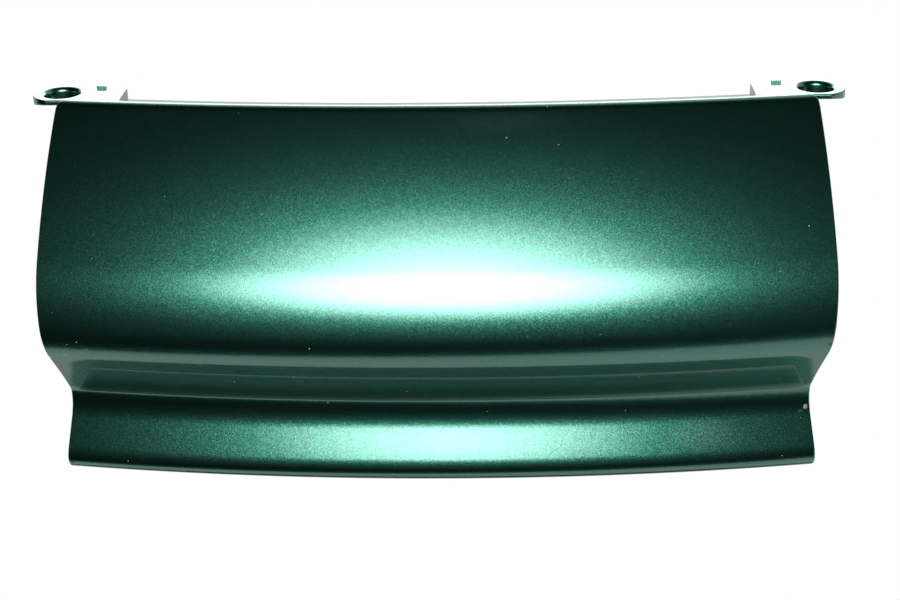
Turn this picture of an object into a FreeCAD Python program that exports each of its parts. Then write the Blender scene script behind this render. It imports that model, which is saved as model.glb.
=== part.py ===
import FreeCAD, Part
import math
import os
import Sketcher

# Rear fairing lower cover: one thin moulded shell with a top flange and two level mounting ears.
# Frame: +X along the cover, +Y from its painted face into the bike, +Z up through the ear holes.
# The origin lies midway between the two ear holes, on the ears' top face.

SIZES = (
    # alias, value, meaning
    ("wall", 2.2, "wall of the moulding"),
    ("plan_radius", 752.0, "radius of the top edge, seen from above"),
    ("trim_stock", 22.0, "extra wall swept past each side edge before it is trimmed"),
    ("lean", 16.0, "how far the crown looks up from level, degrees"),
    ("flange_depth", 14.0, "flat depth of the top flange"),
    ("flange_slope", 15.0, "fall of the flange towards the back, degrees"),
    ("flange_rise", 1.5, "front of the flange above the ears' top face"),
    ("top_bend", 0.8, "inner radius of the bend from flange to panel"),
    ("upper_radius", 222.0, "radius of the upper stretch of the panel"),
    ("upper_turn", 12.6, "angle that the upper stretch turns through"),
    ("crown_radius", 40.7, "radius of the panel above its crown line"),
    ("crown_turn", 15.1, "angle that the crown turns through"),
    ("brow_radius", 44.1, "radius of the panel below its crown line"),
    ("brow_turn", 12.0, "angle that the brow turns through"),
    ("roll_bend", 14.8, "inner radius of the roll-under"),
    ("roll_turn", 39.3, "angle that the roll-under turns through"),
    ("shelf_depth", 19.9, "flat run from the roll-under back into the cove"),
    ("cove_radius", 3.9, "radius of the tight corner at the back of the cove"),
    ("cove_turn", 21.6, "angle that this corner turns back through"),
    ("apron_radius", 15.4, "radius of the concave apron below that corner"),
    ("apron_turn", 33.7, "angle that the apron turns back through"),
    ("face_depth", 9.2, "flat run down the face of the lower lip"),
    ("lip_radius", 12.0, "radius of the lip below its flat face"),
    ("lip_turn", 14.3, "angle that the lip turns through"),
    ("hem_bend", 3.3, "inner radius of the turned-in bottom hem"),
    ("hem_turn", 60.7, "angle that the hem turns through"),
    ("side_width", 223.7, "width across the side edges, in line with the ear holes"),
    ("side_draft", 9.7, "angle at which the side edges close in towards the back"),
    ("side_flare", 7.2, "angle at which the side edges open out below the cove"),
    ("flare_drop", 87.1, "start of that flare below the ear holes, down the lean"),
    ("flare_bend", 60.0, "radius of the bend from the straight side edge into the flare"),
    ("edge_round", 0.9, "rounding of the side edges"),
    ("ear_spacing", 231.5, "distance between the two ear holes"),
    ("ear_hole", 10.5, "diameter of each ear hole"),
    ("ear_margin", 3.5, "material round each ear hole"),
    ("ear_length", 28.0, "length of each ear along the cover"),
    ("ear_lead", 11.0, "top edge ahead of the ear holes, level with them"),
    ("ear_thickness", 3.7, "thickness of each ear at its hole"),
    ("ear_flat", 0.6, "front of each ear cut flat, short of its full round"),
    ("tab_back", 5.5, "rear edge of the tab that carries the ear, behind the hole's centre"),
    ("nib_width", 3.0, "width of the small nib on each tab's rear edge"),
    ("nib_height", 0.8, "height of that nib"),
    ("nib_depth", 1.2, "depth of that nib from front to back"),
    ("nib_inboard", 11.5, "nib inboard of the ear hole"),
)

SHEET = "Sizes"
BODY = "lower_cover"

doc = FreeCAD.newDocument("rear_fairing_lower_cover")
sheet = doc.addObject("Spreadsheet::Sheet", SHEET)
for row, (alias, value, meaning) in enumerate(SIZES, start=1):
    sheet.set(f"A{row}", alias)
    sheet.set(f"B{row}", str(value))
    sheet.setAlias(f"B{row}", alias)
    sheet.set(f"C{row}", meaning)
doc.recompute()


def size(alias):
    """Value of one driving dimension, read from the sheet."""
    return float(getattr(sheet, alias))


def cell(alias):
    """Expression that names one cell of the sheet."""
    return f"{SHEET}.{alias}"


body = doc.addObject("PartDesign::Body", BODY)
body.Label = BODY


def origin_plane(role):
    """One of the body's own origin planes."""
    return next(item for item in body.Origin.OriginFeatures if item.Role == role)


def new_sketch(name, role):
    """Sketch attached to one of the body's origin planes."""
    sketch = body.newObject("Sketcher::SketchObject", name)
    sketch.AttachmentSupport = [(origin_plane(role), "")]
    sketch.MapMode = "FlatFace"
    return sketch


def drive(sketch, constraint, name, expression):
    """Adds a named constraint and binds it to the sheet."""
    index = sketch.addConstraint(constraint)
    sketch.renameConstraint(index, name)
    sketch.setExpression(f"Constraints.{name}", expression)


# Section of the wall
# The outer face is a chain of tangent lines and arcs, from the flange's rear edge round to the hem.
# A heading of 0 runs straight down the front; headings grow as the face turns under.
CONVEX, CONCAVE = 1, -1
START, END, CENTRE = 1, 2, 3
TOP_TURN = "90 + {0}.flange_slope - {0}.lean - {0}.upper_turn - {0}.crown_turn".format(SHEET)
top_turn = 90 + size("flange_slope") - size("lean") - size("upper_turn") - size("crown_turn")
HALF_SPACING = f"({SHEET}.ear_spacing / 2)"
AXIS_BACK = f"sqrt({SHEET}.plan_radius ^ 2 - {HALF_SPACING} ^ 2) - {SHEET}.ear_lead"
axis_back = math.sqrt(size("plan_radius") ** 2 - (size("ear_spacing") / 2) ** 2) - size("ear_lead")


class Stretch:
    """One line or arc of the section's outer face."""

    def __init__(self, name, bend=0, radius=0.0, turn=0.0, turn_text="", inside=False, length=0.0):
        self.name = name
        self.bend = bend
        self.turn = turn
        self.turn_text = turn_text
        self.length = length
        self.inside = inside
        self.radius = radius

    def face_radius(self, inset):
        """Radius of the arc on the outer face, or on the face that lies the wall behind it."""
        outer = self.radius + (size("wall") if self.inside else 0.0)
        return outer - self.bend * inset

    def face_radius_text(self, inner):
        """The same radius as an expression."""
        text = cell(self.alias())
        if self.bend == CONCAVE:
            return f"{text} + {cell('wall')}" if inner else text
        if self.inside:
            return text if inner else f"{text} + {cell('wall')}"
        return f"{text} - {cell('wall')}" if inner else text

    def alias(self):
        """Cell that drives this stretch's radius or length."""
        if not self.bend:
            return f"{self.name}_depth"
        return f"{self.name}_bend" if self.inside else f"{self.name}_radius"


def arc_stretch(name, bend=CONVEX, inside=False, turn=None, turn_text=None):
    """Arc whose radius and turn come from the sheet; inside means that the inner radius is given."""
    radius = size(f"{name}_bend" if inside else f"{name}_radius")
    return Stretch(
        name,
        bend=bend,
        radius=radius,
        turn=size(f"{name}_turn") if turn is None else turn,
        turn_text=turn_text or cell(f"{name}_turn"),
        inside=inside,
    )


def line_stretch(name):
    """Straight run whose length comes from the sheet."""
    return Stretch(name, length=size(f"{name}_depth"))


CHAIN = (
    line_stretch("flange"),
    arc_stretch("top", inside=True, turn=top_turn, turn_text=TOP_TURN),
    arc_stretch("upper"),
    arc_stretch("crown"),
    arc_stretch("brow"),
    arc_stretch("roll", inside=True),
    line_stretch("shelf"),
    arc_stretch("cove", bend=CONCAVE),
    arc_stretch("apron", bend=CONCAVE),
    line_stretch("face"),
    arc_stretch("lip"),
    arc_stretch("hem", inside=True),
)


def along(heading):
    """Unit vector down the face at a heading in degrees."""
    turn = math.radians(heading)
    return FreeCAD.Vector(math.sin(turn), -math.cos(turn), 0)


def inward(heading):
    """Unit vector from the outer face into the wall at a heading in degrees."""
    turn = math.radians(heading)
    return FreeCAD.Vector(math.cos(turn), math.sin(turn), 0)


def draw_chain(sketch, point, heading, inset):
    """Adds the chain that lies inset behind the outer face and returns its geometry numbers."""
    numbers = []
    for stretch in CHAIN:
        if not stretch.bend:
            ahead = point + along(heading) * stretch.length
            numbers.append(sketch.addGeometry(Part.LineSegment(point, ahead), False))
            point = ahead
            continue
        radius = stretch.face_radius(inset)
        turn = stretch.bend * stretch.turn
        centre = point + inward(heading) * (stretch.bend * radius)
        middle = centre - inward(heading + turn / 2) * (stretch.bend * radius)
        ahead = centre - inward(heading + turn) * (stretch.bend * radius)
        numbers.append(sketch.addGeometry(Part.Arc(point, middle, ahead), False))
        point = ahead
        heading += turn
    return numbers


def chain_ends(stretch):
    """First and last vertex of a stretch along the chain; arcs are stored anticlockwise."""
    if stretch.bend == CONCAVE:
        return END, START
    return START, END


def tie_chain(sketch, numbers, inner):
    """Makes neighbours tangent and drives every radius, turn and length from the sheet."""
    side = "inner" if inner else "outer"
    for position, stretch in enumerate(CHAIN):
        number = numbers[position]
        if position:
            before = numbers[position - 1]
            leave = chain_ends(CHAIN[position - 1])[1]
            enter = chain_ends(stretch)[0]
            sketch.addConstraint(Sketcher.Constraint("Tangent", before, leave, number, enter))
        name = f"{stretch.name}_{side}"
        if not stretch.bend:
            run = Sketcher.Constraint("Distance", number, stretch.length)
            drive(sketch, run, name, cell(stretch.alias()))
            continue
        radius = sketch.Geometry[number].Radius
        drive(sketch, Sketcher.Constraint("Radius", number, radius), name, stretch.face_radius_text(inner))
        turn = math.radians(stretch.turn)
        drive(sketch, Sketcher.Constraint("Angle", number, turn), f"{name}_turn", stretch.turn_text)


def build_section():
    """Closed section of the wall, with the plan axis as a construction line."""
    sketch = new_sketch("section", "YZ_Plane")
    flange_heading = -90 - size("flange_slope")
    flange_front = FreeCAD.Vector(axis_back - size("plan_radius"), size("flange_rise"), 0)
    start = flange_front - along(flange_heading) * size("flange_depth")
    inner_start = start + inward(flange_heading) * size("wall")
    outer = draw_chain(sketch, start, flange_heading, 0.0)
    inner = draw_chain(sketch, inner_start, flange_heading, size("wall"))
    tie_chain(sketch, outer, False)
    tie_chain(sketch, inner, True)
    flange, inner_flange = outer[0], inner[0]
    drive(
        sketch,
        Sketcher.Constraint("DistanceX", flange, END, -1, START, -flange_front.x),
        "top_edge_forward",
        f"{SHEET}.plan_radius - ({AXIS_BACK})",
    )
    drive(
        sketch,
        Sketcher.Constraint("DistanceY", -1, START, flange, END, flange_front.y),
        "top_edge_rise",
        cell("flange_rise"),
    )
    slope = math.radians(180 - size("flange_slope"))
    drive(sketch, Sketcher.Constraint("Angle", flange, slope), "flange_lie", f"180 - {SHEET}.flange_slope")
    rear = sketch.addGeometry(Part.LineSegment(start, inner_start), False)
    sketch.addConstraint(Sketcher.Constraint("Coincident", rear, START, flange, START))
    sketch.addConstraint(Sketcher.Constraint("Coincident", rear, END, inner_flange, START))
    sketch.addConstraint(Sketcher.Constraint("Perpendicular", rear, flange))
    drive(sketch, Sketcher.Constraint("Distance", rear, size("wall")), "wall_at_flange", cell("wall"))
    sketch.addConstraint(Sketcher.Constraint("Parallel", inner_flange, flange))
    outer_end = sketch.Geometry[outer[-1]].EndPoint
    inner_end = sketch.Geometry[inner[-1]].EndPoint
    hem = sketch.addGeometry(Part.LineSegment(outer_end, inner_end), False)
    sketch.addConstraint(Sketcher.Constraint("Coincident", hem, START, outer[-1], END))
    sketch.addConstraint(Sketcher.Constraint("Coincident", hem, END, inner[-1], END))
    axis_foot = FreeCAD.Vector(axis_back, 0, 0)
    axis_head = axis_foot + FreeCAD.Vector(0, size("wall"), 0)
    axis = sketch.addGeometry(Part.LineSegment(axis_foot, axis_head), True)
    sketch.addConstraint(Sketcher.Constraint("Vertical", axis))
    sketch.addConstraint(Sketcher.Constraint("PointOnObject", axis, START, -1))
    drive(sketch, Sketcher.Constraint("Distance", axis, size("wall")), "axis_mark", cell("wall"))
    drive(sketch, Sketcher.Constraint("DistanceX", -1, START, axis, START, axis_back), "axis_back", AXIS_BACK)
    doc.recompute()
    return sketch


def build_wall(section):
    """Sweeps the section round the plan axis."""
    wall = body.newObject("PartDesign::Revolution", "wall")
    wall.Profile = section
    wall.ReferenceAxis = (section, ["Axis0"])
    wall.Midplane = True
    reach = f"({SHEET}.side_width / 2 + {SHEET}.trim_stock)"
    wall.setExpression("Angle", f"2 * asin({reach} / {SHEET}.plan_radius)")
    return wall


# Side edges
# Each is cut along its drafted line, by an outline that runs down the lean, bends and flares.
# A rounding takes at most this share of the wall, so that a flat stays between the two.
ROUND_SHARE = 0.45
FLARE_LEAD = f"{SHEET}.flare_bend * tan({SHEET}.side_flare / 2)"


def add_loop(sketch, corners):
    """Closed loop of lines through the corners; returns the lines' numbers."""
    lines = []
    for here, there in zip(corners, corners[1:] + corners[:1]):
        lines.append(sketch.addGeometry(Part.LineSegment(here, there), False))
    for line, after in zip(lines, lines[1:] + lines[:1]):
        sketch.addConstraint(Sketcher.Constraint("Coincident", line, END, after, START))
    return lines


def side_sketch():
    """Sketch that looks along the right-hand side edge, leaning and turned by the draft."""
    sketch = new_sketch("side_cut", "XZ_Plane")
    lean = FreeCAD.Rotation(FreeCAD.Vector(-1, 0, 0), size("lean"))
    draft = FreeCAD.Rotation(FreeCAD.Vector(0, 1, 0), size("side_draft"))
    sketch.AttachmentOffset = FreeCAD.Placement(FreeCAD.Vector(), lean * draft)
    turn = f"rotationx(-{SHEET}.lean * 1 deg) * rotationy({SHEET}.side_draft * 1 deg)"
    sketch.setExpression("AttachmentOffset", f"placement(vector(0; 0; 0); {turn})")
    return sketch


def build_sides():
    """Cuts both side edges."""
    sketch = side_sketch()
    flare = math.radians(size("side_flare"))
    bend = size("flare_bend")
    reach = size("side_width")
    half = reach / 2 * math.cos(math.radians(size("side_draft")))
    lead = bend * math.tan(flare / 2)
    top = FreeCAD.Vector(half, reach, 0)
    knee = FreeCAD.Vector(half, lead - size("flare_drop"), 0)
    centre = knee + FreeCAD.Vector(bend, 0, 0)
    middle = centre - FreeCAD.Vector(math.cos(flare / 2), math.sin(flare / 2), 0) * bend
    leave = centre - FreeCAD.Vector(math.cos(flare), math.sin(flare), 0) * bend
    fall = (leave.y + reach) / math.cos(flare)
    foot = leave + FreeCAD.Vector(math.sin(flare), -math.cos(flare), 0) * fall
    far_foot = FreeCAD.Vector(reach, -reach, 0)
    far_top = FreeCAD.Vector(reach, reach, 0)
    straight = sketch.addGeometry(Part.LineSegment(top, knee), False)
    round_out = sketch.addGeometry(Part.Arc(knee, middle, leave), False)
    flared = sketch.addGeometry(Part.LineSegment(leave, foot), False)
    under = sketch.addGeometry(Part.LineSegment(foot, far_foot), False)
    outside = sketch.addGeometry(Part.LineSegment(far_foot, far_top), False)
    over = sketch.addGeometry(Part.LineSegment(far_top, top), False)
    sketch.addConstraint(Sketcher.Constraint("Tangent", straight, END, round_out, START))
    sketch.addConstraint(Sketcher.Constraint("Tangent", round_out, END, flared, START))
    for line, after in ((flared, under), (under, outside), (outside, over), (over, straight)):
        sketch.addConstraint(Sketcher.Constraint("Coincident", line, END, after, START))
    sketch.addConstraint(Sketcher.Constraint("Vertical", straight))
    sketch.addConstraint(Sketcher.Constraint("Horizontal", under))
    sketch.addConstraint(Sketcher.Constraint("Vertical", outside))
    sketch.addConstraint(Sketcher.Constraint("Horizontal", over))
    width = cell("side_width")
    places = (
        ("half", ("DistanceX", -1, START, straight, START, half), f"{width} / 2 * cos({SHEET}.side_draft)"),
        ("top", ("DistanceY", -1, START, straight, START, reach), width),
        ("knee", ("DistanceY", straight, END, -1, START, -knee.y), f"{SHEET}.flare_drop - {FLARE_LEAD}"),
        ("bend", ("Radius", round_out, bend), cell("flare_bend")),
        ("flare", ("Angle", round_out, flare), cell("side_flare")),
        ("foot", ("DistanceY", flared, END, -1, START, reach), width),
        ("outside", ("DistanceX", -1, START, outside, START, reach), width),
    )
    for name, parts, expression in places:
        drive(sketch, Sketcher.Constraint(*parts), name, expression)
    doc.recompute()
    side = body.newObject("PartDesign::Pocket", "side")
    side.Profile = sketch
    side.Type = "ThroughAll"
    side.Midplane = True
    doc.recompute()
    sides = body.newObject("PartDesign::Mirrored", "sides")
    sides.Originals = [side]
    sides.MirrorPlane = (origin_plane("YZ_Plane"), [""])
    body.Tip = sides
    doc.recompute()
    return sides


def rim_edges(shape):
    """Names of the edges where the flat and bent faces of the side cuts meet the wall."""
    cuts = [face for face in shape.Faces if isinstance(face.Surface, (Part.Plane, Part.Cylinder))]
    names = []
    for number, edge in enumerate(shape.Edges, start=1):
        owners = [face for face in cuts if any(edge.isSame(rim) for rim in face.Edges)]
        if len(owners) == 1:
            names.append(f"Edge{number}")
    return names


def round_rims(base):
    """Rounds the edges of the side cuts."""
    rims = body.newObject("PartDesign::Fillet", "rims")
    rims.Base = (base, rim_edges(base.Shape))
    rims.setExpression("Radius", f"min({SHEET}.edge_round; {ROUND_SHARE} * {SHEET}.wall)")
    doc.recompute()


# Ears
# Each is a level plate whose underside follows the fall of the flange: a round eye on a narrower tab.
EAR_HALF = f"({SHEET}.ear_hole / 2 + {SHEET}.ear_margin)"
ear_half = size("ear_hole") / 2 + size("ear_margin")
EAR_END = f"{HALF_SPACING} + {EAR_HALF}"
EAR_INNER = f"{EAR_END} - {SHEET}.ear_length"
ear_inner = size("ear_spacing") / 2 + ear_half - size("ear_length")
EAR_FRONT = f"({EAR_HALF} - {SHEET}.ear_flat)"
ear_front = ear_half - size("ear_flat")
EAR_BACK = f"({EAR_HALF} + {SHEET}.wall)"
ear_back = ear_half + size("wall")


def build_ear():
    """Wedge that runs out along the cover past its side edge."""
    sketch = new_sketch("ear_section", "YZ_Plane")
    sketch.setExpression("AttachmentOffset.Base.z", EAR_INNER)
    slope = math.tan(math.radians(size("flange_slope")))
    front_low = FreeCAD.Vector(-ear_front, ear_front * slope - size("ear_thickness"), 0)
    back_low = FreeCAD.Vector(ear_back, -ear_back * slope - size("ear_thickness"), 0)
    front_top = FreeCAD.Vector(-ear_front, 0, 0)
    back_top = FreeCAD.Vector(ear_back, 0, 0)
    under, back, top, front = add_loop(sketch, [front_low, back_low, back_top, front_top])
    sketch.addConstraint(Sketcher.Constraint("Vertical", back))
    sketch.addConstraint(Sketcher.Constraint("Vertical", front))
    sketch.addConstraint(Sketcher.Constraint("PointOnObject", top, START, -1))
    sketch.addConstraint(Sketcher.Constraint("Horizontal", top))
    drive(sketch, Sketcher.Constraint("DistanceX", top, END, -1, START, ear_front), "ear_front", EAR_FRONT)
    drive(sketch, Sketcher.Constraint("DistanceX", -1, START, top, START, ear_back), "ear_back", EAR_BACK)
    lie = math.radians(-size("flange_slope"))
    drive(sketch, Sketcher.Constraint("Angle", under, lie), "ear_fall", f"-{SHEET}.flange_slope")
    drive(
        sketch,
        Sketcher.Constraint("Distance", front, -front_low.y),
        "ear_nose",
        f"{SHEET}.ear_thickness - {EAR_FRONT} * tan({SHEET}.flange_slope)",
    )
    doc.recompute()
    ear = body.newObject("PartDesign::Pad", "ear")
    ear.Profile = sketch
    ear.setExpression("Length", cell("ear_length"))
    doc.recompute()
    return ear


def build_eye():
    """Cuts the wedge to a round eye and a narrower tab, as seen from above."""
    sketch = new_sketch("eye_outline", "XY_Plane")
    hole_x = size("ear_spacing") / 2
    tab_back = size("tab_back")
    neck = FreeCAD.Vector(hole_x - math.sqrt(ear_half**2 - tab_back**2), tab_back, 0)
    tip = FreeCAD.Vector(hole_x + ear_half, 0, 0)
    nose = FreeCAD.Vector(hole_x, -ear_half, 0)
    clear_x = hole_x + ear_half + size("wall")
    clear_back = ear_back + size("wall")
    clear_front = -ear_half - size("wall")
    inboard = ear_inner - size("wall")
    eye = sketch.addGeometry(Part.Arc(neck, tip, nose), False)
    corners = [
        nose,
        FreeCAD.Vector(hole_x, clear_front, 0),
        FreeCAD.Vector(clear_x, clear_front, 0),
        FreeCAD.Vector(clear_x, clear_back, 0),
        FreeCAD.Vector(inboard, clear_back, 0),
        FreeCAD.Vector(inboard, tab_back, 0),
        neck,
    ]
    lines = []
    for here, there in zip(corners, corners[1:]):
        lines.append(sketch.addGeometry(Part.LineSegment(here, there), False))
    for line, after in zip(lines, lines[1:]):
        sketch.addConstraint(Sketcher.Constraint("Coincident", line, END, after, START))
    drop, front, outside, rear, inner, tab = lines
    for line in (drop, outside, inner):
        sketch.addConstraint(Sketcher.Constraint("Vertical", line))
    for line in (front, rear, tab):
        sketch.addConstraint(Sketcher.Constraint("Horizontal", line))
    sketch.addConstraint(Sketcher.Constraint("Coincident", drop, START, eye, START))
    sketch.addConstraint(Sketcher.Constraint("Coincident", tab, END, eye, END))
    sketch.addConstraint(Sketcher.Constraint("PointOnObject", eye, CENTRE, -1))
    sketch.addConstraint(Sketcher.Constraint("Vertical", eye, CENTRE, eye, START))
    drive(sketch, Sketcher.Constraint("Radius", eye, ear_half), "eye_radius", EAR_HALF)
    places = (
        ("eye_place", ("DistanceX", -1, START, eye, CENTRE, hole_x), HALF_SPACING),
        ("tab_back", ("DistanceY", -1, START, tab, START, tab_back), cell("tab_back")),
        ("clear_front", ("DistanceY", front, START, -1, START, -clear_front), f"{EAR_HALF} + {SHEET}.wall"),
        ("clear_back", ("DistanceY", -1, START, rear, START, clear_back), f"{EAR_BACK} + {SHEET}.wall"),
        ("clear_side", ("DistanceX", -1, START, outside, START, clear_x), f"{EAR_END} + {SHEET}.wall"),
        ("clear_inner", ("DistanceX", -1, START, inner, START, inboard), f"{EAR_INNER} - {SHEET}.wall"),
    )
    for name, parts, expression in places:
        drive(sketch, Sketcher.Constraint(*parts), name, expression)
    doc.recompute()
    eye_cut = body.newObject("PartDesign::Pocket", "eye")
    eye_cut.Profile = sketch
    eye_cut.Type = "ThroughAll"
    eye_cut.Midplane = True
    doc.recompute()
    return eye_cut


def build_nib():
    """Small nib on the tab's rear edge."""
    sketch = new_sketch("nib_outline", "XY_Plane")
    middle = size("ear_spacing") / 2 - size("nib_inboard")
    left = middle - size("nib_width") / 2
    right = middle + size("nib_width") / 2
    rear = size("tab_back")
    front = rear - size("nib_depth")
    corners = [(left, front), (right, front), (right, rear), (left, rear)]
    near, outer, far, inner = add_loop(sketch, [FreeCAD.Vector(x, y, 0) for x, y in corners])
    sketch.addConstraint(Sketcher.Constraint("Horizontal", near))
    sketch.addConstraint(Sketcher.Constraint("Horizontal", far))
    sketch.addConstraint(Sketcher.Constraint("Vertical", outer))
    sketch.addConstraint(Sketcher.Constraint("Vertical", inner))
    drive(sketch, Sketcher.Constraint("Distance", near, right - left), "nib_width", cell("nib_width"))
    drive(sketch, Sketcher.Constraint("Distance", outer, rear - front), "nib_depth", cell("nib_depth"))
    drive(sketch, Sketcher.Constraint("DistanceY", -1, START, far, START, rear), "nib_rear", cell("tab_back"))
    drive(
        sketch,
        Sketcher.Constraint("DistanceX", -1, START, near, START, left),
        "nib_left",
        f"{HALF_SPACING} - {SHEET}.nib_inboard - {SHEET}.nib_width / 2",
    )
    doc.recompute()
    nib = body.newObject("PartDesign::Pad", "nib")
    nib.Profile = sketch
    nib.setExpression("Length", cell("nib_height"))
    doc.recompute()
    return nib


def build_hole():
    """Plain hole through the ear."""
    sketch = new_sketch("hole_outline", "XY_Plane")
    centre = FreeCAD.Vector(size("ear_spacing") / 2, 0, 0)
    ring = Part.Circle(centre, FreeCAD.Vector(0, 0, 1), size("ear_hole") / 2)
    circle = sketch.addGeometry(ring, False)
    sketch.addConstraint(Sketcher.Constraint("PointOnObject", circle, CENTRE, -1))
    drive(sketch, Sketcher.Constraint("Diameter", circle, size("ear_hole")), "ear_hole", cell("ear_hole"))
    place = Sketcher.Constraint("DistanceX", -1, START, circle, CENTRE, centre.x)
    drive(sketch, place, "hole_place", HALF_SPACING)
    doc.recompute()
    hole = body.newObject("PartDesign::Pocket", "hole")
    hole.Profile = sketch
    hole.Type = "ThroughAll"
    hole.Midplane = True
    doc.recompute()
    return hole


def mirror_ears(features):
    """Repeats the ear with its eye, nib and hole on the other side."""
    ears = body.newObject("PartDesign::Mirrored", "ears")
    ears.Originals = features
    ears.MirrorPlane = (origin_plane("YZ_Plane"), [""])
    body.Tip = ears
    doc.recompute()


def check_document():
    """Stops the build if anything failed, came out empty or fell apart."""
    for item in doc.Objects:
        if {"Invalid", "Error"} & set(item.State):
            raise RuntimeError(f"{item.Name} failed: {item.State}")
    shape = body.Shape
    if shape.isNull() or not shape.isValid() or len(shape.Solids) != 1:
        raise RuntimeError(f"{BODY} is not one valid solid")


build_wall(build_section())
round_rims(build_sides())
mirror_ears([build_ear(), build_eye(), build_nib(), build_hole()])
check_document()
os.makedirs("parts", exist_ok=True)
body.Shape.exportStep(f"parts/{BODY}.step")
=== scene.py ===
"""Rear fairing lower cover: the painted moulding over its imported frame, in a plain white studio."""

import logging
import math
from dataclasses import dataclass, field
from enum import Enum
from typing import Any

import bmesh
import bpy
from bmesh.types import BMesh, BMEdge, BMFace, BMVert
from mathutils import Matrix, Vector

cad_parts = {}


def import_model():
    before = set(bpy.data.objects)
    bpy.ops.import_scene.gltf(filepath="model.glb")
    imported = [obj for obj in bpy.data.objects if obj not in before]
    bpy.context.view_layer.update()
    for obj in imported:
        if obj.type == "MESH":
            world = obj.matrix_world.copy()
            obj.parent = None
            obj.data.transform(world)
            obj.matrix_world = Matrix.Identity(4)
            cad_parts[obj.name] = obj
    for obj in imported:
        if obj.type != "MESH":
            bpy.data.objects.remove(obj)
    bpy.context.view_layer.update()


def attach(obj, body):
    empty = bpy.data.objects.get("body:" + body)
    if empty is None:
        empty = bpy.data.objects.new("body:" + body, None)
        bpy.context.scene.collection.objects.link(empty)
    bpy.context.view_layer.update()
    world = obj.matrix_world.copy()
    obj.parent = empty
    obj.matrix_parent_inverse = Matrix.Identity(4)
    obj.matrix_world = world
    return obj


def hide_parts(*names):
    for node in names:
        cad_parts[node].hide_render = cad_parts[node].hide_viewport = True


log = logging.getLogger("lower_cover")

MM = 0.001
NODE = "lower_cover"
ROOT_BODY = "root"
PHOTO_WIDTH = 900
EAR_SPACING = 231.5
FLANGE_SLOPE = 15.0
FORWARDS = -90.0
WHITE = (1.0, 1.0, 1.0, 1.0)
CELL_MIDDLE = (0.5, 0.5, 0.5)
LAMP_MIDDLE = (0.5, 0.5, 0.0)
LAMP_RIM = 0.5

Pair = tuple[float, float]
Triple = tuple[float, float, float]
Colour = tuple[float, float, float, float]


class Bend(Enum):
    """Which way a stretch of the section turns, seen from its painted side."""

    STRAIGHT = 0
    CONVEX = 1
    CONCAVE = -1


class Face(Enum):
    """Material index of each kind of face on the cover."""

    PAINTED = 0
    INSIDE = 1


@dataclass(frozen=True)
class Stretch:
    """One line or arc of the section's painted face.

    Attributes:
        name: what it is called.
        bend: which way it turns.
        size: length of a straight stretch, or outer radius of an arc, in millimetres.
        turn: angle of an arc, in degrees.
        steps: how many rows of faces it gets.
    """

    name: str
    bend: Bend
    size: float
    turn: float
    steps: int


def along(heading: float) -> Vector:
    """Unit vector along the section.

    Args:
        heading: angle in degrees; 0 runs straight down the front.

    Returns:
        The direction in which the section runs on.
    """
    turn = math.radians(heading)
    return Vector((0.0, math.sin(turn), -math.cos(turn)))


def inward(heading: float) -> Vector:
    """Unit vector from the painted face into the wall.

    Args:
        heading: angle of the section there, in degrees.

    Returns:
        The direction square to the section.
    """
    turn = math.radians(heading)
    return Vector((0.0, math.cos(turn), math.sin(turn)))


def sharp_edges(bm: BMesh, least: float) -> list[BMEdge]:
    """Edges whose two faces meet at more than an angle.

    Args:
        bm: mesh to look through.
        least: smallest angle that counts, in degrees.

    Returns:
        The edges found.
    """
    limit = math.radians(least)
    return [edge for edge in bm.edges if len(edge.link_faces) == 2 and edge.calc_face_angle(0.0) > limit]


def round_edges(bm: BMesh, edges: list[BMEdge], radius: float, segments: int) -> None:
    """Rounds edges over with a bevel.

    Args:
        bm: mesh to change.
        edges: edges to round.
        radius: rounding in metres.
        segments: faces across the rounding.
    """
    bmesh.ops.bevel(
        bm,
        geom=edges,
        offset=radius,
        offset_type="OFFSET",
        segments=segments,
        profile=0.5,
        affect="EDGES",
        clamp_overlap=True,
        material=-1,
    )


def mesh_object(name: str, bm: BMesh, materials: list[bpy.types.Material]) -> bpy.types.Object:
    """Turns a bmesh into an object of the scene and frees it.

    Args:
        name: name of the object and of its mesh.
        bm: finished mesh.
        materials: materials in slot order.

    Returns:
        The new object, at the origin.
    """
    mesh = bpy.data.meshes.new(name)
    bm.to_mesh(mesh)
    bm.free()
    for material in materials:
        mesh.materials.append(material)
    made = bpy.data.objects.new(name, mesh)
    bpy.context.scene.collection.objects.link(made)
    return made


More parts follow.
